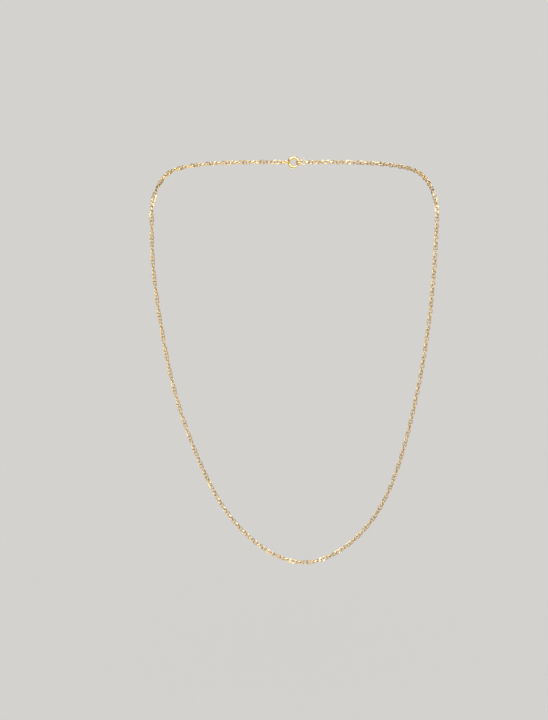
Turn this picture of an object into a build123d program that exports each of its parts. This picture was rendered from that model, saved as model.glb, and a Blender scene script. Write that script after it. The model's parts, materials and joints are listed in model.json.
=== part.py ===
"""Worn chain necklace: a twisted curb ("Singapore") chain closed by a spring ring clasp at the nape.

Millimetres. +Z is up, +X is the wearer's left and -Y is the way the wearer faces. The origin is midway
between the two arms, in the plane that the front hangs in, level with the chain's highest stretch.
"""
from build123d import *
import math
import os

# ---- driving dimensions -------------------------------------------------------------------------

WIRE = 0.46            # round wire that every link is bent from
LINK_LENGTH = 2.30     # between the wire's centres at the two ends of a link
LINK_WIDTH = 1.88      # between the wire's centres at the two long sides
LINK_CORNER = 0.68     # bend radius of the wire's centre at a link's corners
LINK_TWIST = -36.0     # turn of one end of a link against the other, degrees
PITCH = 1.75           # from one link to the next, pulled straight

JUMP_R = 1.25          # closed jump rings: centre radius
JUMP_WIRE = 0.50
HOOKED_R = 1.50        # the larger ring that the clasp hooks: centre radius
HOOKED_WIRE = 0.55
PLAY = 0.08            # clearance where two rings bear on each other

CLASP_R = 2.35         # spring ring: centre radius of its tube
TUBE = 1.30            # the tube's outside diameter
BORE = 0.90            # the tube's bore, which guides the latch and holds the spring
LATCH = 0.76           # diameter of the latch's wire
EYELET_R = 0.75        # eyelet that joins the clasp to the chain: centre radius
EYELET_WIRE = 0.50
EYELET_SUNK = 0.20     # depth of the eyelet's solder seat in the tube

# Angles round the clasp, degrees from +X, positive towards +Z.
MOUTH = (-90.0, -40.0)         # the gap that opens
LATCH_SPAN = (-150.0, -34.0)   # latch at rest, its tip just inside the far side of the mouth
LATCH_TRAVEL = 50.0            # how far the latch slides back into the tube
KNOB_AT = -103.0
KNOB_STEM = 0.36
KNOB_R = 0.42
KNOB_STAND = 0.45              # from the tube's outside to the middle of the knob
SPRING_SPAN = (-246.0, -152.0)
SPRING_TURNS = 9
SPRING_STEPS = 6               # bends in each coil
SPRING_R = 0.33                # from a coil's middle to the corners that its bends round off
SPRING_BEND = 0.24
SPRING_WIRE = 0.12

# ---- the line that the chain follows --------------------------------------------------------------

HALF_SPAN = 68.0       # from the middle to each arm, where the arms turn from plumb towards the neck
ARM_TOP = -21.0        # height of that turn

# The front hangs in the plane Y = 0. Points are (x, z), from one arm round to the other. The loop
# has slid a little to one side, so its lowest point isn't in the middle.
FRONT = [
    (-HALF_SPAN, ARM_TOP),
    (-67.6, -47),
    (-64.0, -78),
    (-57.6, -111),
    (-46.4, -145),
    (-27.5, -179),
    (6.5, -198.6),
    (36.5, -180),
    (51.6, -149),
    (59.6, -115),
    (64.6, -82),
    (67.3, -48),
    (HALF_SPAN, ARM_TOP),
]

# One side of the neck, from the arm's top over the shoulder to the clasp. The other is its mirror.
NAPE_Y = 46.0
NAPE_Z = -0.8
SIDE = [
    (HALF_SPAN, 0.0, ARM_TOP),
    (67.1, 2.2, -11.0),
    (65.0, 7.0, -5.4),
    (62.7, 13.5, -2.6),
    (60.2, 20.0, -1.2),
    (54.0, 28.5, -0.3),
    (44.0, 35.7, 0.0),
    (30.0, 41.7, -0.2),
    (16.0, 44.8, -0.5),
]

# Heights at which the two arms fold together, from the shoulders down. Each pivot is a place where
# one link turns in the next, at the same height on both arms, with a whole number of links between.
FOLDS = [-23.0, -37.0, -52.7, -68.4, -82.3, -101.3, -116.7, -135.3, -153.5, -170.8, -185.8, -196.5]
BACK_RUNS = 3
BACK_RUN_LINKS = 9

# How far the chain runs in half a turn of its twist, as (distance from the first arm's top, length).
# The twist isn't even: it is slack in one arm and tight in the other.
HALF_TURN = [
    (-95, 8.0),
    (0, 9.8),
    (90, 9.4),
    (150, 5.4),
    (188, 5.1),
    (204, 8.3),
    (222, 8.0),
    (238, 6.2),
    (290, 6.0),
    (330, 4.6),
    (407, 4.6),
    (502, 6.5),
]


# ---- clasp layout along the nape, from -X to +X ---------------------------------------------------

def bearing(first_wire, second_wire):
    """Distance between the centres of two wires that bear on each other."""
    return (first_wire + second_wire) / 2 + PLAY


eyelet_from_clasp = CLASP_R + TUBE / 2 + EYELET_R + EYELET_WIRE / 2 - EYELET_SUNK
jump_from_eyelet = EYELET_R - bearing(EYELET_WIRE, JUMP_WIRE) + JUMP_R
hooked_from_clasp = CLASP_R - bearing(TUBE, HOOKED_WIRE) + HOOKED_R
jump_from_hooked = HOOKED_R - bearing(HOOKED_WIRE, JUMP_WIRE) + JUMP_R
chain_from_jump = JUMP_R - bearing(JUMP_WIRE, WIRE) + LINK_LENGTH / 2 - PITCH / 2

before_clasp = eyelet_from_clasp + jump_from_eyelet + chain_from_jump
after_clasp = hooked_from_clasp + jump_from_hooked + chain_from_jump
NAPE_HALF = (before_clasp + after_clasp) / 2

clasp_x = before_clasp - NAPE_HALF
eyelet_x = clasp_x - eyelet_from_clasp
first_jump_x = eyelet_x - jump_from_eyelet
hooked_x = clasp_x + hooked_from_clasp
second_jump_x = hooked_x + jump_from_hooked


# ---- route ------------------------------------------------------------------------------------------

with BuildLine(Plane.XZ) as front_line:
    Spline(*FRONT)

with BuildLine() as side_line:
    Spline(*SIDE, (NAPE_HALF, NAPE_Y, NAPE_Z))

front = front_line.edges()[0]
side = side_line.edges()[0]


def point_at(s):
    """Point of the route. s is 0 at the first arm's top, and negative behind the first shoulder."""
    if s < 0:
        mirrored = side.position_at(-s, position_mode=PositionMode.LENGTH)
        return Vector(-mirrored.X, mirrored.Y, mirrored.Z)
    if s < front.length:
        return front.position_at(s, position_mode=PositionMode.LENGTH)
    return side.position_at(s - front.length, position_mode=PositionMode.LENGTH)


def direction_at(s):
    step = 0.05
    return (point_at(s + step) - point_at(s - step)).normalized()


def distance_at_height(height, low, high):
    """Distance along an arm, between low and high, where the route passes the given height."""
    falling = point_at(low).Z > point_at(high).Z
    for _ in range(40):
        middle = (low + high) / 2
        if (point_at(middle).Z > height) == falling:
            low = middle
        else:
            high = middle
    return (low + high) / 2


def half_turn_at(s):
    for (s0, h0), (s1, h1) in zip(HALF_TURN, HALF_TURN[1:]):
        if s <= s1:
            return h0 + (h1 - h0) * (s - s0) / (s1 - s0)
    return HALF_TURN[-1][1]


lowest = max(range(int(front.length)), key=lambda s: -point_at(s).Z)
first_arm = [distance_at_height(z, 0, lowest) for z in FOLDS]
second_arm = [distance_at_height(z, lowest, front.length) for z in FOLDS]
back_pivots = [side.length - PITCH * BACK_RUN_LINKS * n for n in range(BACK_RUNS, -1, -1)]

# Every run as (name, start, end), in order along the route.
back = range(BACK_RUNS, 0, -1)
down = range(1, len(FOLDS))
runs = [(f"right_back_{n}", -back_pivots[n], -back_pivots[n - 1]) for n in back]
runs.append(("right_shoulder", -back_pivots[0], first_arm[0]))
runs += [(f"right_front_{n:02d}", first_arm[n - 1], first_arm[n]) for n in down]
runs.append(("front_bottom", first_arm[-1], second_arm[-1]))
runs += [(f"left_front_{n:02d}", second_arm[n], second_arm[n - 1]) for n in reversed(down)]
runs.append(("left_shoulder", second_arm[0], front.length + back_pivots[0]))
runs += [
    (f"left_back_{n}", front.length + back_pivots[n - 1], front.length + back_pivots[n])
    for n in reversed(back)
]


# ---- where each link lies -----------------------------------------------------------------------

stations = []
for name, start, end in runs:
    count = round((end - start) / PITCH)
    step = (end - start) / count
    stations += [(name, start + step * (n + 0.5)) for n in range(count)]

centres = [point_at(s) for _, s in stations]
headings = [direction_at(s) for _, s in stations]


def carried(vector, heading):
    """The vector turned as little as possible to stand square to the heading."""
    return (vector - heading * vector.dot(heading)).normalized()


def spun(vector, heading, degrees):
    return vector.rotate(Axis((0, 0, 0), heading), degrees)


def twist_outward(order, widths, sign):
    """Carry the width direction from link to link, with the chain's twist between them."""
    for here, there in zip(order, order[1:]):
        s = (stations[here][1] + stations[there][1]) / 2
        turn = 180 * abs(stations[there][1] - stations[here][1]) / half_turn_at(s)
        width = carried(widths[here], headings[there])
        widths[there] = spun(width, headings[there], sign * turn)


def meet_ring(order, widths, bow_twist, wanted):
    """Spread a small extra turn over the back's links, so that the last bow crosses its ring squarely."""
    last = order[-1]
    bow = spun(widths[last], headings[last], bow_twist)
    wanted = carried(wanted, headings[last])
    if bow.dot(wanted) < 0:
        wanted = -wanted
    extra = math.degrees(math.atan2(headings[last].dot(bow.cross(wanted)), bow.dot(wanted)))
    for n, link_number in enumerate(order):
        share = extra * (n + 1) / len(order)
        widths[link_number] = spun(widths[link_number], headings[link_number], share)


# The chain is edge-on to the front at its lowest point.
middle = min(range(len(stations)), key=lambda n: abs(stations[n][1] - lowest))
widths = {middle: carried(Vector(0, 1, 0), headings[middle])}
twist_outward(range(middle, len(stations)), widths, 1)
twist_outward(range(middle, -1, -1), widths, -1)

behind = -back_pivots[0]
first_back = [n for n in range(len(stations) - 1, -1, -1) if stations[n][1] < behind]
second_back = [n for n in range(len(stations)) if stations[n][1] > front.length + back_pivots[0]]
meet_ring(first_back, widths, -LINK_TWIST / 2, Vector(0, 0, 1))
meet_ring(second_back, widths, LINK_TWIST / 2, Vector(0, 1, 0))


# ---- one link -------------------------------------------------------------------------------------

def link_corner(end, side_of_link):
    """A corner of the wire's centre line. end and side_of_link are -1 or 1."""
    turn = math.radians(end * LINK_TWIST / 2)
    across = side_of_link * LINK_WIDTH / 2
    return (end * LINK_LENGTH / 2, across * math.cos(turn), across * math.sin(turn))


half_width = LINK_WIDTH / 2 * math.cos(math.radians(LINK_TWIST / 2))

with BuildPart() as link:
    with BuildLine() as bend:
        FilletPolyline(
            (0, -half_width, 0),
            link_corner(1, -1),
            link_corner(1, 1),
            (0, half_width, 0),
            radius=LINK_CORNER,
        )
    bend_wire = bend.wires()[0]
    with BuildSketch(Plane(origin=bend_wire @ 0, z_dir=bend_wire % 0)):
        Circle(WIRE / 2)
    sweep(path=bend_wire)
    add(link.part, rotation=(0, 180, 0))


# ---- pieces -----------------------------------------------------------------------------------------

os.makedirs("parts", exist_ok=True)


def finish(piece, name):
    piece.label = name
    export_step(piece, f"parts/{name}.step")


def chain_run(name):
    """All the links of one run, interlocked and free of each other."""
    planes = [
        Plane(origin=centres[n], x_dir=headings[n], z_dir=headings[n].cross(widths[n]))
        for n in range(len(stations))
        if stations[n][0] == name
    ]
    with BuildPart() as run:
        with Locations(*[plane.location for plane in planes]):
            add(link.part)
    finish(run.part, name)


for name, _, _ in runs:
    chain_run(name)


def on_nape(x, z_dir):
    return Plane(origin=(x, NAPE_Y, NAPE_Z), x_dir=(1, 0, 0), z_dir=z_dir)


LYING = (0, 0, 1)      # ring seen from above
FACING = (0, -1, 0)    # ring seen from the front, like the clasp

with BuildPart(on_nape(first_jump_x, LYING)) as clasp_jump_ring:
    Torus(JUMP_R, JUMP_WIRE / 2)
finish(clasp_jump_ring.part, "clasp_jump_ring")

with BuildPart(on_nape(second_jump_x, FACING)) as end_jump_ring:
    Torus(JUMP_R, JUMP_WIRE / 2)
finish(end_jump_ring.part, "end_jump_ring")

with BuildPart(on_nape(hooked_x, LYING)) as hooked_ring:
    Torus(HOOKED_R, HOOKED_WIRE / 2)
finish(hooked_ring.part, "hooked_ring")


# ---- clasp ------------------------------------------------------------------------------------------

clasp_plane = on_nape(clasp_x, FACING)
clasp_axis = Axis(clasp_plane.origin, clasp_plane.z_dir)


def across_tube(degrees):
    """Plane square to the clasp's ring at an angle, x outward and centred on the tube."""
    turn = math.radians(degrees)
    outward = clasp_plane.x_dir * math.cos(turn) + clasp_plane.y_dir * math.sin(turn)
    along = clasp_plane.y_dir * math.cos(turn) - clasp_plane.x_dir * math.sin(turn)
    return Plane(origin=clasp_plane.origin + outward * CLASP_R, x_dir=outward, z_dir=along)


with BuildPart() as clasp_tube:
    with BuildSketch(across_tube(MOUTH[1])):
        Circle(TUBE / 2)
        Circle(BORE / 2, mode=Mode.SUBTRACT)
    revolve(axis=clasp_axis, revolution_arc=360 - (MOUTH[1] - MOUTH[0]))
    # Slot in the outer wall that the knob's stem slides along.
    slot_half = math.degrees((KNOB_STEM / 2 + PLAY) / (CLASP_R + TUBE / 2))
    with BuildSketch(across_tube(KNOB_AT + slot_half)):
        with Locations((TUBE / 2, 0)):
            Rectangle(TUBE, KNOB_STEM + 2 * PLAY)
    revolve(axis=clasp_axis, revolution_arc=-(LATCH_TRAVEL + 2 * slot_half), mode=Mode.SUBTRACT)
finish(clasp_tube.part, "clasp_tube")

with BuildPart(on_nape(eyelet_x, FACING)) as clasp_eyelet:
    Torus(EYELET_R, EYELET_WIRE / 2)
    # The seat that the tube is soldered into.
    with Locations((clasp_x - eyelet_x, 0, 0)):
        Torus(CLASP_R, TUBE / 2, mode=Mode.SUBTRACT)
finish(clasp_eyelet.part, "clasp_eyelet")

with BuildPart() as latch:
    with BuildSketch(across_tube(LATCH_SPAN[0])):
        Circle(LATCH / 2)
    revolve(axis=clasp_axis, revolution_arc=LATCH_SPAN[1] - LATCH_SPAN[0])
finish(latch.part, "latch")

knob_plane = across_tube(KNOB_AT)
knob_base = Plane(origin=knob_plane.origin, x_dir=knob_plane.z_dir, z_dir=knob_plane.x_dir)
knob_height = TUBE / 2 + KNOB_STAND
with BuildPart() as latch_knob:
    with BuildSketch(knob_base):
        Circle(KNOB_STEM / 2)
    extrude(amount=knob_height)
    with Locations(knob_base.offset(knob_height)):
        Sphere(KNOB_R)
    # The stem is soldered to the latch's wire.
    add(latch.part, mode=Mode.SUBTRACT)
finish(latch_knob.part, "latch_knob")

with BuildPart() as latch_spring:
    steps = SPRING_TURNS * SPRING_STEPS
    coil_points = []
    for n in range(steps + 1):
        section = across_tube(SPRING_SPAN[0] + (SPRING_SPAN[1] - SPRING_SPAN[0]) * n / steps)
        turn = math.radians(360 * n / SPRING_STEPS)
        coil_points.append(section.from_local_coords((SPRING_R * math.cos(turn), SPRING_R * math.sin(turn))))
    with BuildLine() as coil:
        FilletPolyline(*coil_points, radius=SPRING_BEND)
    coil_wire = coil.wires()[0]
    with BuildSketch(Plane(origin=coil_wire @ 0, z_dir=coil_wire % 0)):
        Circle(SPRING_WIRE / 2)
    sweep(path=coil_wire)
finish(latch_spring.part, "latch_spring")
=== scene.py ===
"""Looks of the chain necklace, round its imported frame. Metres; MM scales lengths named in millimetres."""
import json
import math

import bmesh
import bpy
import numpy as np
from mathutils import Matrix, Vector

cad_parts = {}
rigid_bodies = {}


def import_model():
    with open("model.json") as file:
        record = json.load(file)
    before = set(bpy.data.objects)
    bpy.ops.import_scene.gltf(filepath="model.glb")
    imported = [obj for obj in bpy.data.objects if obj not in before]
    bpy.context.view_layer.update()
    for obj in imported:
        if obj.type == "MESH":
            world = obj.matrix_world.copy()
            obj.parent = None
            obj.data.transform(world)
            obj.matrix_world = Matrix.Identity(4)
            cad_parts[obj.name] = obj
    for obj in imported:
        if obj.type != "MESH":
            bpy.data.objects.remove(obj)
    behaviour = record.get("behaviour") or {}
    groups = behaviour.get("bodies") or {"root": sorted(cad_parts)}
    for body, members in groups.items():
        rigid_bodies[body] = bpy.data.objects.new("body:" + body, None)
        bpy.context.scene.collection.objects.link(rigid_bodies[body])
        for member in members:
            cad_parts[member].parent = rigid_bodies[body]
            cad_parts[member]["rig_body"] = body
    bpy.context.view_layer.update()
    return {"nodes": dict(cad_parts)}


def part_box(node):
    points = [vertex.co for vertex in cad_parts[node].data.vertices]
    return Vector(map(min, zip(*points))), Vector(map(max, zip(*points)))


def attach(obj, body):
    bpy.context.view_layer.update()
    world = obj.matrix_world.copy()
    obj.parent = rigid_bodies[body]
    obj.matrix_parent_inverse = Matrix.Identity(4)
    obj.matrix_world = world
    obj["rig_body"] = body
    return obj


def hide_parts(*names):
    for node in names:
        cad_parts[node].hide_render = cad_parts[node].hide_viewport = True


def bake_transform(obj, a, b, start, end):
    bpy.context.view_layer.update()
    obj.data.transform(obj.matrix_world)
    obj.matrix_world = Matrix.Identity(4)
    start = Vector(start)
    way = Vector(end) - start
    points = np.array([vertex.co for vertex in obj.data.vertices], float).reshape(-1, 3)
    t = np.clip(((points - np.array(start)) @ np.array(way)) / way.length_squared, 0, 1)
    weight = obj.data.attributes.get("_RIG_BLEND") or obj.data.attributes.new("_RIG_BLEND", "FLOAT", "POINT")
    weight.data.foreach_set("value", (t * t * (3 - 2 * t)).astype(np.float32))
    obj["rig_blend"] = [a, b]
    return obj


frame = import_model()

MM = 0.001

# ---- sizes shared with the CAD model, in millimetres and degrees ------------------------------------

WIRE = 0.46            # link: wire, size over the wire's centres, corner bend and twist
LINK_LENGTH = 2.30
LINK_WIDTH = 1.88
LINK_CORNER = 0.68
LINK_TWIST = -36.0

BORE = 0.90            # clasp: the tube's bore and the latch that slides in it
LATCH = 0.76
EYELET_WIRE = 0.50
MOUTH = (-90.0, -40.0)
LATCH_SPAN = (-150.0, -34.0)
LATCH_TRAVEL = 50.0
KNOB_AT = -103.0
KNOB_STEM = 0.36
KNOB_R = 0.42
KNOB_STAND = 0.45
SPRING_SPAN = (-246.0, -152.0)
SPRING_TURNS = 9
SPRING_R = 0.31
SPRING_WIRE = 0.12
PLAY = 0.08

# ---- finish that the CAD model leaves out -----------------------------------------------------------

FACE_CUT = 0.100       # depth of the flats cut on a link's faces, edges and shoulders
EDGE_CUT = 0.035
SHOULDER_CUT = 0.045
CORNER_STEPS = 12      # mesh steps round a link's corner and round its wire
WIRE_STEPS = 20
RING_STEPS = 120       # and round a ring and its wire
RING_WIRE_STEPS = 28
SLOT_COLUMNS = 6       # mesh columns of the clasp's tube in its slot, and outside it
TUBE_COLUMNS = 26
TUBE_RIM = 0.035       # rounding of the tube's rims
SHARP = math.radians(22)
PAPER_FLECK = 0.97     # the darker flecks in the floor's paper, against the rest
SEED = 7


# ---- shader building --------------------------------------------------------------------------------

class Graph:
    """A material's node tree, with short calls for the nodes used here."""

    def __init__(self, name):
        self.material = bpy.data.materials.new(name)
        self.material.use_nodes = True
        self.tree = self.material.node_tree
        self.shader = self.tree.nodes["Principled BSDF"]

    def put(self, socket, value):
        if isinstance(value, bpy.types.NodeSocket):
            self.tree.links.new(value, socket)
        else:
            socket.default_value = value

    def node(self, kind, settings=None, **inputs):
        made = self.tree.nodes.new(kind)
        for key, value in (settings or {}).items():
            setattr(made, key, value)
        for key, value in inputs.items():
            self.put(made.inputs[key], value)
        return made

    def attribute(self, name):
        return self.node("ShaderNodeAttribute", {"attribute_name": name}).outputs["Fac"]

    def place(self, scale=(1, 1, 1)):
        coordinates = self.node("ShaderNodeTexCoord").outputs["Object"]
        mapping = self.node("ShaderNodeMapping", Vector=coordinates)
        mapping.inputs["Scale"].default_value = scale
        return mapping.outputs["Vector"]

    def noise(self, size_mm, detail=2.0, stretch=(1, 1, 1)):
        """Noise whose features are about size_mm across."""
        where = self.place(stretch)
        made = self.node("ShaderNodeTexNoise", Vector=where, Scale=1 / (size_mm * MM), Detail=detail)
        return made.outputs["Fac"]

    def math(self, operation, a, b=0.0, clamp=False):
        made = self.node("ShaderNodeMath", {"operation": operation, "use_clamp": clamp})
        self.put(made.inputs[0], a)
        self.put(made.inputs[1], b)
        return made.outputs["Value"]

    def spread(self, value, low, high):
        """Value from 0..1 to low..high."""
        ends = {"To Min": low, "To Max": high}
        return self.node("ShaderNodeMapRange", Value=value, **ends).outputs["Result"]

    def blend(self, share, first, second):
        made = self.node("ShaderNodeMix", {"data_type": "RGBA"})
        self.put(made.inputs[0], share)
        self.put(made.inputs[6], first)
        self.put(made.inputs[7], second)
        return made.outputs[2]

    def bump(self, height, strength, depth_mm):
        made = self.node("ShaderNodeBump", Height=height, Strength=strength, Distance=depth_mm * MM)
        return made.outputs["Normal"]


def gold(name, bright, deep, cut, rough, grain_mm):
    """Plated gold: painted shade darkens it to the deep colour in the recesses, a painted sheen makes the cut
    faces paler, and it is smoother where it was cut.
    """
    g = Graph(name)
    recess = g.attribute("recess")
    facet = g.attribute("cut")
    tone = g.attribute("tone")
    cloud = g.noise(1.1, 3.0)
    fine = g.noise(0.09, 2.0)
    # The deep colour is painted shade in the recesses, with random clouds on top, and varies a little from
    # link to link.
    shade_share = g.math("MULTIPLY_ADD", recess, 0.85)
    shade_share.node.inputs[2].default_value = -0.12
    depth = g.math("ADD", shade_share, g.spread(cloud, -0.28, 0.28), clamp=True)
    depth = g.math("ADD", depth, g.spread(tone, -0.10, 0.10), clamp=True)
    body = g.blend(depth, (*bright, 1), (*deep, 1))
    # The cut faces take a paler colour: a painted sheen, besides their smoother finish below.
    colour = g.blend(g.math("MULTIPLY", facet, 0.8), body, (*cut, 1))
    g.put(g.shader.inputs["Base Color"], colour)
    g.shader.inputs["Metallic"].default_value = 1.0
    worn = g.math("ADD", g.spread(fine, rough - 0.07, rough + 0.07), g.spread(recess, -0.03, 0.10))
    # Some links' cut faces are more polished than others, which makes the sparkle.
    polish = g.spread(tone, 0.34, 0.16)
    rounds = g.math("MULTIPLY", worn, g.math("SUBTRACT", 1.0, facet))
    g.put(g.shader.inputs["Roughness"], g.math("ADD", rounds, g.math("MULTIPLY", polish, facet)))
    # Drawing marks and small pits, nearly gone from the cut faces.
    drawn = g.noise(grain_mm, 2.0, (1, 1, 0.22))
    pits = g.noise(0.16, 1.0)
    height = g.math("ADD", g.math("MULTIPLY", drawn, 0.6), g.math("MULTIPLY", pits, 0.8))
    relief = g.math("MULTIPLY", height, g.spread(facet, 1.0, 0.12))
    g.put(g.shader.inputs["Normal"], g.bump(relief, 0.35, 0.006))
    return g.material


def steel(name):
    """Drawn spring wire, grey with a straw tint from its tempering."""
    g = Graph(name)
    tint = g.noise(0.5, 2.0)
    g.put(g.shader.inputs["Base Color"], g.blend(tint, (0.42, 0.41, 0.39, 1), (0.60, 0.53, 0.40, 1)))
    g.shader.inputs["Metallic"].default_value = 1.0
    g.put(g.shader.inputs["Roughness"], g.spread(g.noise(0.05), 0.22, 0.40))
    g.put(g.shader.inputs["Normal"], g.bump(g.noise(0.03), 0.3, 0.002))
    return g.material


def paper(name, colour):
    """Matte studio sheet with a very faint tooth."""
    g = Graph(name)
    tooth = g.noise(1.5, 4.0)
    darker = tuple(PAPER_FLECK * channel for channel in colour)
    g.put(g.shader.inputs["Base Color"], g.blend(tooth, (*colour, 1), (*darker, 1)))
    g.shader.inputs["Roughness"].default_value = 0.9
    g.shader.inputs["Specular IOR Level"].default_value = 0.0
    return g.material


CHAIN_GOLD = gold(
    "chain_gold", bright=(0.78, 0.56, 0.24), deep=(0.22, 0.135, 0.04), cut=(0.90, 0.69, 0.37),
    rough=0.38, grain_mm=0.06,
)
RING_GOLD = gold(
    "ring_gold", bright=(0.91, 0.65, 0.28), deep=(0.38, 0.22, 0.07), cut=(1.0, 0.79, 0.45),
    rough=0.19, grain_mm=0.05,
)
CLASP_GOLD = gold(
    "clasp_gold", bright=(0.90, 0.63, 0.26), deep=(0.34, 0.20, 0.06), cut=(0.98, 0.76, 0.42),
    rough=0.17, grain_mm=0.05,
)
SPRING_STEEL = steel("spring_steel")


# ---- mesh building ----------------------------------------------------------------------------------

def grid_faces(rows, columns, close_rows=False, close_columns=True):
    """Quads of a grid of points numbered row by row."""
    last_row = rows if close_rows else rows - 1
    last_column = columns if close_columns else columns - 1
    faces = []
    for r in range(last_row):
        for c in range(last_column):
            r2 = (r + 1) % rows
            c2 = (c + 1) % columns
            faces.append((r * columns + c, r * columns + c2, r2 * columns + c2, r2 * columns + c))
    return faces


def piece(name, verts, faces, material, slot, body, stands_for=(), **attributes):
    """A finished mesh object on a CAD body. Each attribute has a number for each vertex or face."""
    mesh = bpy.data.meshes.new(name)
    mesh.from_pydata([tuple(v) for v in verts], [], faces)
    mesh.polygons.foreach_set("use_smooth", [True] * len(mesh.polygons))
    mesh.set_sharp_from_angle(angle=SHARP)
    for key in ("recess", "cut", "tone"):
        values = np.asarray(attributes.get(key, np.zeros(len(mesh.vertices))), np.float32)
        domain = "FACE" if len(values) == len(mesh.polygons) else "POINT"
        mesh.attributes.new(key, "FLOAT", domain).data.foreach_set("value", values)
    mesh.materials.append(material)
    mesh.validate()
    made = bpy.data.objects.new(name, mesh)
    bpy.context.scene.collection.objects.link(made)
    if body:
        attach(made, body)
    if stands_for:
        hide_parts(*stands_for)
    return made


def unit(vectors):
    return vectors / np.linalg.norm(vectors, axis=-1, keepdims=True)


# ---- one link ---------------------------------------------------------------------------------------

def link_centre_line():
    """Points round the centre of a link's wire, and the direction at each, in millimetres."""
    corners = []
    for end, side in ((1, -1), (1, 1), (-1, 1), (-1, -1)):
        turn = math.radians(end * LINK_TWIST / 2)
        across = side * LINK_WIDTH / 2
        corners.append(np.array((end * LINK_LENGTH / 2, across * math.cos(turn), across * math.sin(turn))))
    points = []
    for n, corner in enumerate(corners):
        back = unit(corners[n - 1] - corner)
        ahead = unit(corners[(n + 1) % 4] - corner)
        half_angle = math.acos(back @ ahead) / 2
        middle = corner + unit(back + ahead) * LINK_CORNER / math.sin(half_angle)
        first = corner + back * LINK_CORNER / math.tan(half_angle) - middle
        sweep = math.pi - 2 * half_angle
        across = unit(-back - first * (-back @ first) / LINK_CORNER ** 2) * LINK_CORNER
        for step in range(CORNER_STEPS + 1):
            angle = sweep * step / CORNER_STEPS
            points.append(middle + first * math.cos(angle) + across * math.sin(angle))
    points = np.array(points)
    directions = unit(np.roll(points, -1, axis=0) - np.roll(points, 1, axis=0))
    return points, directions


def cut_flat(bm, normal, depth):
    """Cut the mesh back by depth from its furthest point along normal. The flat is marked as cut."""
    normal = Vector(normal).normalized()
    reach = max(v.co.dot(normal) for v in bm.verts)
    everything = bm.verts[:] + bm.edges[:] + bm.faces[:]
    done = bmesh.ops.bisect_plane(
        bm, geom=everything, dist=1e-6, plane_co=normal * (reach - depth), plane_no=normal, clear_outer=True
    )
    rim = [e for e in done["geom_cut"] if isinstance(e, bmesh.types.BMEdge)]
    flats = bmesh.ops.holes_fill(bm, edges=rim, sides=0)["faces"]
    marked = bm.faces.layers.float["cut"]
    for flat in flats:
        flat[marked] = 1.0


def link_template():
    """Vertices (millimetres), faces, and the painted shade of each vertex and cut of each face, for one link.
    """
    points, directions = link_centre_line()
    up = unit(np.array((0.0, 0.0, 1.0)) - directions * directions[:, 2:3])
    side = np.cross(directions, up)
    bm = bmesh.new()
    recess = bm.verts.layers.float.new("recess")
    bm.faces.layers.float.new("cut")
    for point, u, s in zip(points, up, side):
        outward = unit(point * (1.0, 1.0, 0.0))
        for step in range(WIRE_STEPS):
            angle = math.tau * step / WIRE_STEPS
            offset = u * math.cos(angle) + s * math.sin(angle)
            vert = bm.verts.new(point + offset * WIRE / 2)
            # Painted shade on the inner side of the wire, towards the middle of the link, where the links
            # nest.
            vert[recess] = max(0.0, -float(offset @ outward)) ** 1.5
    bm.verts.ensure_lookup_table()
    for face in grid_faces(len(points), WIRE_STEPS, close_rows=True):
        bm.faces.new([bm.verts[n] for n in face])
    bmesh.ops.recalc_face_normals(bm, faces=bm.faces)
    for z in (1, -1):
        cut_flat(bm, (0, 0, z), FACE_CUT)
        cut_flat(bm, (0, z, 0), EDGE_CUT)
    for y, z in ((1, 1), (1, -1), (-1, 1), (-1, -1)):
        cut_flat(bm, (0, y, z), SHOULDER_CUT)
    cut = bm.faces.layers.float["cut"]
    recess = bm.verts.layers.float["recess"]
    bm.verts.index_update()
    template = (
        np.array([v.co[:] for v in bm.verts]),
        [[v.index for v in f.verts] for f in bm.faces],
        np.array([v[recess] for v in bm.verts]),
        np.array([f[cut] for f in bm.faces]),
    )
    bm.free()
    return template


# ---- chain runs -------------------------------------------------------------------------------------

def islands(mesh):
    """The separate solids of a mesh, each as its triangles' corner points."""
    mesh.calc_loop_triangles()
    co = np.array([v.co for v in mesh.vertices], float).reshape(-1, 3)
    triangles = np.array([t.vertices for t in mesh.loop_triangles])
    points, same = np.unique(co, axis=0, return_inverse=True)
    triangles = same.reshape(-1)[triangles]
    label = np.arange(len(points))
    while True:
        lowest = label[triangles].min(axis=1)
        before = label.copy()
        for corner in range(3):
            np.minimum.at(label, triangles[:, corner], lowest)
        label = label[label]
        if (label == before).all():
            break
    of_triangle = label[triangles[:, 0]]
    return [points[triangles[of_triangle == mark]] for mark in np.unique(of_triangle)]


def link_frame(corners):
    """A link's middle and its axes as columns, from its solid. A link looks the same turned half round
    any of its axes, so their signs don't matter."""
    start = corners.reshape(-1, 3).mean(axis=0)
    a, b, c = (corners[:, n] - start for n in range(3))
    volume = np.einsum("ij,ij->i", a, np.cross(b, c)) / 6
    total = volume.sum()
    middle = (volume[:, None] * (a + b + c)).sum(axis=0) / 4 / total
    spread = np.zeros((3, 3))
    for p in (a, b, c, a + b + c):
        spread += np.einsum("i,ij,ik->jk", volume, p, p) / 20
    spread = spread / total - np.outer(middle, middle)
    axes = np.linalg.eigh(spread)[1][:, ::-1]
    axes[:, 2] = np.cross(axes[:, 0], axes[:, 1])
    return start + middle, axes


def chain_run(node, template, random):
    """All the links of one CAD run, in full detail, as one piece."""
    verts, faces, recess, cut = template
    placed = []
    tones = []
    all_faces = []
    links = [link_frame(corners) for corners in islands(frame["nodes"][node].data)]
    for n, (middle, axes) in enumerate(links):
        placed.append(verts * MM @ axes.T + middle)
        tones.append(np.full(len(verts), random.random()))
        all_faces += [[n * len(verts) + v for v in face] for face in faces]
    body = frame["nodes"][node]["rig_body"]
    return piece(
        f"{node}_links", np.concatenate(placed), all_faces, CHAIN_GOLD, "chain_gold", body, [node],
        recess=np.tile(recess, len(links)), cut=np.tile(cut, len(links)), tone=np.concatenate(tones),
    )


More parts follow.
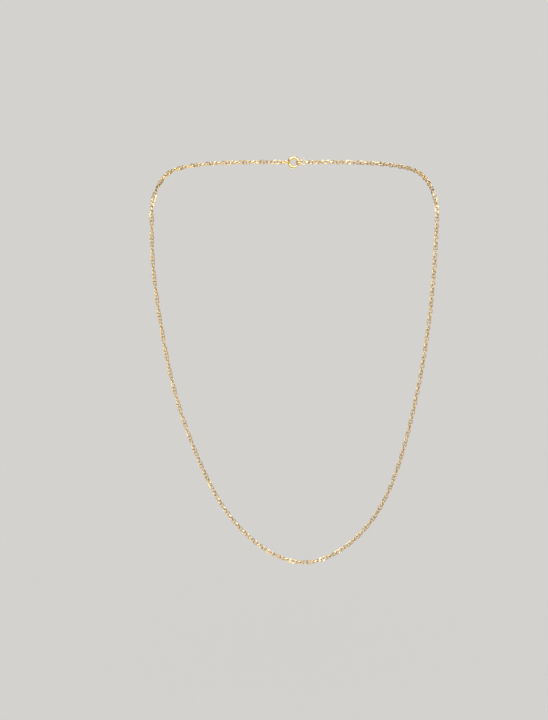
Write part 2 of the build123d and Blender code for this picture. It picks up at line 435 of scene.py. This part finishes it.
random = np.random.default_rng(SEED)
link = link_template()
for node in sorted(frame["nodes"]):
    if node.split("_")[0] in ("left", "right", "front"):
        chain_run(node, link, random)


# ---- rings ------------------------------------------------------------------------------------------

def ring_of(node):
    """A CAD ring's middle, axis number, centre radius and wire radius, in metres, from its box."""
    low, high = (np.array(corner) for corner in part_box(node))
    size = high - low
    axis = int(size.argmin())
    wire = size.min() / 2
    return (low + high) / 2, axis, size.max() / 2 - wire, wire


def wire_ring(name, middle, axis, radius, wire, seam, swell, width, **how):
    """A closed ring of round wire. At the angle seam it swells by a share, as solder leaves it."""
    steps, round_steps = RING_STEPS, RING_WIRE_STEPS
    first = np.eye(3)[0]
    normal = np.eye(3)[axis]
    second = np.cross(normal, first)
    verts, recess = [], []
    for n in range(steps):
        angle = math.tau * n / steps
        outward = first * math.cos(angle) + second * math.sin(angle)
        away = math.remainder(angle - math.radians(seam), math.tau) / math.radians(width)
        solder = math.exp(-away * away)
        r = wire * (1 + swell * solder)
        for k in range(round_steps):
            turn = math.tau * k / round_steps
            verts.append(middle + outward * (radius + r * math.cos(turn)) + normal * r * math.sin(turn))
            # Painted shade on the inner side of the ring; the solder at the seam is a little darker too.
            recess.append(0.75 * max(0.0, -math.cos(turn)) ** 1.5 + 0.35 * solder)
    faces = [face[::-1] for face in grid_faces(steps, round_steps, close_rows=True)]
    return piece(name, verts, faces, recess=recess, **how)


for node, seam in (("clasp_jump_ring", 62), ("end_jump_ring", 118), ("hooked_ring", 205)):
    middle, axis, radius, wire = ring_of(node)
    body = frame["nodes"][node]["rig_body"]
    wire_ring(
        f"{node}_wire", middle, axis, radius, wire, seam, swell=0.05, width=9,
        material=RING_GOLD, slot="ring_gold", body=body, stands_for=[node],
    )


# ---- clasp ------------------------------------------------------------------------------------------

clasp_middle, _, CLASP_R, TUBE_R = ring_of("clasp_tube")
BORE_R = BORE / 2 * MM
LATCH_R = LATCH / 2 * MM


def on_clasp(degrees, outward=0.0, sideways=0.0):
    """A point of the clasp: degrees from +X towards +Z, outward of the tube's centre line, sideways on -Y."""
    turn = math.radians(degrees)
    reach = CLASP_R + outward
    return clasp_middle + np.array((reach * math.cos(turn), -sideways, reach * math.sin(turn)))


def clasp_tube():
    """The bored tube, open at the mouth, with the slot that the knob slides along."""
    slot_half = KNOB_STEM / 2 + PLAY
    slot_turn = math.degrees(slot_half * MM / (CLASP_R + TUBE_R))
    slot = (KNOB_AT - LATCH_TRAVEL - slot_turn + 360, KNOB_AT + slot_turn + 360)
    start, end = MOUTH[1], MOUTH[0] + 360
    marks = [start, slot[0], slot[1], end]
    along = []
    for a, b in zip(marks, marks[1:]):
        count = max(2, round((b - a) / 2))
        along += [a + (b - a) * n / count for n in range(count)]
    along.append(end)
    slot_side = math.asin(slot_half * MM / TUBE_R)
    half = SLOT_COLUMNS // 2
    across = [slot_side * n / half for n in range(-half, half)]
    across += [slot_side + (math.tau - 2 * slot_side) * n / TUBE_COLUMNS for n in range(TUBE_COLUMNS)]
    columns = len(across)
    verts, recess = [], []
    for radius in (TUBE_R, BORE_R):
        for degrees in along:
            for turn in across:
                inner = slot_side if radius == TUBE_R else math.asin(slot_half * MM / BORE_R)
                # The bore's columns meet the slot's straight sides.
                if abs(turn) <= slot_side:
                    turned = turn * inner / slot_side
                else:
                    turned = inner + (turn - slot_side) * (math.tau - 2 * inner) / (math.tau - 2 * slot_side)
                verts.append(on_clasp(degrees, radius * math.cos(turned), radius * math.sin(turned)))
                # Painted shade on the tube's inner side, and full painted shade in the bore.
                inner_shade = 0.5 * max(0.0, -math.cos(turned)) ** 1.5
                recess.append(inner_shade if radius == TUBE_R else 1.0)
    rows = len(along)
    faces = []
    layer = rows * columns
    open_cells = set()
    for r in range(rows - 1):
        for c in range(columns):
            if c < SLOT_COLUMNS and slot[0] - 1e-6 <= along[r] < slot[1] - 1e-6:
                open_cells.add((r, c))

    def corner(r, c, inner):
        return r * columns + c % columns + inner * layer

    for r in range(rows - 1):
        for c in range(columns):
            if (r, c) in open_cells:
                continue
            faces.append((corner(r, c, 0), corner(r, c + 1, 0), corner(r + 1, c + 1, 0), corner(r + 1, c, 0)))
            faces.append((corner(r, c, 1), corner(r + 1, c, 1), corner(r + 1, c + 1, 1), corner(r, c + 1, 1)))
            for dr, dc, edge in (
                (-1, 0, ((r, c), (r, c + 1))),
                (1, 0, ((r + 1, c + 1), (r + 1, c))),
                (0, -1, ((r + 1, c), (r, c))),
                (0, 1, ((r, c + 1), (r + 1, c + 1))),
            ):
                beside = (r + dr, (c + dc) % columns)
                outside = not 0 <= beside[0] < rows - 1
                if outside or beside in open_cells:
                    (r1, c1), (r2, c2) = edge
                    faces.append((corner(r2, c2, 0), corner(r1, c1, 0), corner(r1, c1, 1), corner(r2, c2, 1)))
    used = sorted({v for face in faces for v in face})
    number = {v: n for n, v in enumerate(used)}
    faces = [[number[v] for v in face] for face in faces]
    made = piece(
        "clasp_tube_shell", [verts[v] for v in used], faces, recess=[recess[v] for v in used],
        material=CLASP_GOLD, slot="clasp_gold", body="clasp", stands_for=["clasp_tube"],
    )
    soften(made, TUBE_RIM)


def soften(made, width_mm):
    """Round a piece's sharp edges, with the modifier applied to its mesh."""
    bevel = made.modifiers.new("edges", "BEVEL")
    bevel.width = width_mm * MM
    bevel.segments = 3
    bevel.limit_method = "ANGLE"
    bevel.angle_limit = math.radians(40)
    bevel.harden_normals = True
    applied = bpy.data.meshes.new_from_object(made.evaluated_get(bpy.context.evaluated_depsgraph_get()))
    made.modifiers.remove(bevel)
    made.data = applied


def rod(name, spine, radii, steps, recess, **how):
    """A round rod along a spine of points, closed at both ends, with a radius at each point."""
    spine = np.array(spine)
    directions = np.gradient(spine, axis=0)
    directions = unit(directions)
    side = unit(np.cross(directions, (0.0, 1.0, 0.0)))
    up = np.cross(side, directions)
    verts, shade = [], []
    for n in range(len(spine)):
        for k in range(steps):
            turn = math.tau * k / steps
            verts.append(spine[n] + (side[n] * math.cos(turn) + up[n] * math.sin(turn)) * radii[n])
            shade.append(recess[n])
    faces = grid_faces(len(spine), steps)
    faces.append(list(range(steps))[::-1])
    faces.append([(len(spine) - 1) * steps + k for k in range(steps)])
    return piece(name, verts, faces, recess=shade, **how)


def latch():
    """The sliding latch, with a domed tip at the mouth's far side."""
    count = 90
    span = LATCH_SPAN[1] - LATCH_SPAN[0]
    angles = [LATCH_SPAN[0] + span * n / count for n in range(count + 1)]
    tip = math.degrees(LATCH_R / CLASP_R)
    radii, shade = [], []
    for degrees in angles:
        left = (LATCH_SPAN[1] - degrees) / tip
        radii.append(LATCH_R * (math.sqrt(max(0.0, 1 - (1 - left) ** 2)) * 0.75 + 0.25 if left < 1 else 1.0))
        shade.append(0.1)
    spine = [on_clasp(degrees) for degrees in angles]
    rod(
        "latch_rod", spine, radii, 28, shade,
        material=CLASP_GOLD, slot="clasp_gold", body="latch", stands_for=["latch"],
    )


def knob():
    """The latch's thumb knob: a turned ball with a flattened top on a waisted stem."""
    base = LATCH_R * 0.7
    ball = TUBE_R + KNOB_STAND * MM
    stem = KNOB_STEM / 2 * MM
    radius = KNOB_R * MM
    neck = math.asin(stem * 1.05 / radius)
    profile = [(0.0, base), (stem, base), (stem, TUBE_R), (stem * 0.94, ball - radius * 1.02)]
    count = 22
    for n in range(count + 1):
        polar = math.pi - neck - (math.pi - neck - math.radians(16)) * n / count
        profile.append((radius * math.sin(polar), ball + radius * math.cos(polar)))
    profile.append((0.0, profile[-1][1] + 0.006 * MM))
    outward = unit(on_clasp(KNOB_AT) - clasp_middle)
    across = np.array((0.0, 1.0, 0.0))
    third = np.cross(outward, across)
    steps = 40
    verts = []
    for r, h in profile[1:-1]:
        for k in range(steps):
            turn = math.tau * k / steps
            verts.append(on_clasp(KNOB_AT, h) + (across * math.cos(turn) + third * math.sin(turn)) * r)
    rows = len(profile) - 2
    faces = grid_faces(rows, steps)
    for row, height, flip in ((0, profile[0][1], True), (rows - 1, profile[-1][1], False)):
        verts.append(on_clasp(KNOB_AT, height))
        for k in range(steps):
            pair = (row * steps + k, row * steps + (k + 1) % steps)
            faces.append((*(pair[::-1] if flip else pair), len(verts) - 1))
    heights = [h for _, h in profile[1:-1]]
    shade = [0.8 if h < ball - radius else 0.1 for h in heights for _ in range(steps)] + [0.8, 0.0]
    piece(
        "latch_knob_ball", verts, faces, CLASP_GOLD, "clasp_gold", "latch", ["latch_knob"], recess=shade,
    )


def spring():
    """The coil behind the latch. It shortens as the latch slides back."""
    per_turn = 26
    count = SPRING_TURNS * per_turn
    span = SPRING_SPAN[1] - SPRING_SPAN[0]
    spine = []
    for n in range(count + 1):
        turn = math.tau * n / per_turn
        outward = SPRING_R * MM * math.cos(turn)
        sideways = SPRING_R * MM * math.sin(turn)
        spine.append(on_clasp(SPRING_SPAN[0] + span * n / count, outward, sideways))
    made = rod(
        "latch_spring_coil", spine, [SPRING_WIRE / 2 * MM] * len(spine), 10, [0.0] * len(spine),
        material=SPRING_STEEL, slot="spring_steel", body=None, stands_for=["latch_spring"],
    )
    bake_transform(made, "clasp", "latch", start=on_clasp(SPRING_SPAN[0]), end=on_clasp(SPRING_SPAN[1]))


def eyelet():
    """The clasp's fixed loop, with a fillet of solder where it meets the tube."""
    middle = np.array(clasp_middle)
    low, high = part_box("clasp_eyelet")
    wire = EYELET_WIRE / 2 * MM
    height = high.z - low.z
    radius = height / 2 - wire
    middle[0] = low.x + height / 2
    wire_ring(
        "clasp_eyelet_wire", middle, 1, radius, wire, seam=0, swell=0.22, width=20,
        material=CLASP_GOLD, slot="clasp_gold", body="clasp", stands_for=["clasp_eyelet"],
    )


clasp_tube()
latch()
knob()
spring()
eyelet()


# ---- stage, light and camera ------------------------------------------------------------------------

FLOOR = -0.254
LOOK_AT = Vector((-0.0097, 0.0, -0.0905))
DISTANCE = 0.75
PITCH_DOWN = math.radians(17)
LENS = 100.5
PALE = (0.76, 0.745, 0.72)    # the floor's paper
AMBIENT = 0.88                # even light that falls on it
WALLS = (0.60, 0.54, 0.49)    # what the gold reflects round the softboxes
WALL_LIGHT = 0.34


def floor():
    reach = 6.0
    corners = [(-reach, -reach, FLOOR), (reach, -reach, FLOOR), (reach, reach, FLOOR), (-reach, reach, FLOOR)]
    mesh = bpy.data.meshes.new("floor")
    mesh.from_pydata(corners, [], [(0, 1, 2, 3)])
    mesh.materials.append(paper("studio_paper", PALE))
    made = bpy.data.objects.new("floor", mesh)
    bpy.context.scene.collection.objects.link(made)


def softbox(name, place, size, watts, colour):
    data = bpy.data.lights.new(name, "AREA")
    data.shape = "RECTANGLE"
    data.size, data.size_y = size
    data.energy = watts
    data.color = colour
    made = bpy.data.objects.new(name, data)
    bpy.context.scene.collection.objects.link(made)
    made.location = place
    made.rotation_euler = (LOOK_AT - Vector(place)).to_track_quat("-Z", "Y").to_euler()
    # The softboxes shape the metal's highlights. The paper is lit by the even light alone.
    made.visible_diffuse = False


def surroundings():
    """Even light, a backdrop as bright as the floor under it, and dimmer walls for the gold to reflect."""
    world = bpy.data.worlds.new("studio")
    bpy.context.scene.world = world
    world.use_nodes = True
    tree = world.node_tree
    even = tree.nodes["Background"]
    even.inputs["Color"].default_value = (1.0, 1.0, 1.0, 1)
    even.inputs["Strength"].default_value = AMBIENT
    backdrop = tree.nodes.new("ShaderNodeBackground")
    backdrop.inputs["Color"].default_value = (*PALE, 1)
    backdrop.inputs["Strength"].default_value = (1 + PAPER_FLECK) / 2 * AMBIENT
    walls = tree.nodes.new("ShaderNodeBackground")
    walls.inputs["Color"].default_value = (*WALLS, 1)
    walls.inputs["Strength"].default_value = WALL_LIGHT
    path = tree.nodes.new("ShaderNodeLightPath")
    seen = tree.nodes.new("ShaderNodeMixShader")
    tree.links.new(path.outputs["Is Camera Ray"], seen.inputs[0])
    tree.links.new(even.outputs[0], seen.inputs[1])
    tree.links.new(backdrop.outputs[0], seen.inputs[2])
    reflected = tree.nodes.new("ShaderNodeMixShader")
    tree.links.new(path.outputs["Is Glossy Ray"], reflected.inputs[0])
    tree.links.new(seen.outputs[0], reflected.inputs[1])
    tree.links.new(walls.outputs[0], reflected.inputs[2])
    tree.links.new(reflected.outputs[0], tree.nodes["World Output"].inputs["Surface"])


def camera():
    data = bpy.data.cameras.new("camera")
    data.sensor_fit = "HORIZONTAL"
    data.sensor_width = 36.0
    data.lens = LENS
    data.clip_start = 0.01
    made = bpy.data.objects.new("camera", data)
    bpy.context.scene.collection.objects.link(made)
    back = Vector((0.0, -math.cos(PITCH_DOWN), math.sin(PITCH_DOWN)))
    made.location = LOOK_AT + back * DISTANCE
    made.rotation_euler = (math.pi / 2 - PITCH_DOWN, 0.0, 0.0)
    bpy.context.scene.camera = made


floor()
surroundings()
softbox("key", (-1.4, -1.9, 2.1), (1.6, 1.6), 46, (1.0, 0.96, 0.91))
softbox("front", (0.3, -2.6, 1.2), (4.2, 2.4), 95, (1.0, 0.97, 0.94))
softbox("fill", (2.0, -1.4, 0.8), (1.0, 1.6), 26, (1.0, 0.97, 0.94))
softbox("rim", (0.5, 1.5, 2.0), (1.8, 0.9), 24, (1.0, 0.98, 0.95))
softbox("sparkle", (-0.28, -0.9, 0.55), (0.07, 0.07), 1.9, (1.0, 0.98, 0.95))
camera()

# Plain colour, which keeps the gold's saturation.
bpy.context.scene.view_settings.view_transform = "Standard"
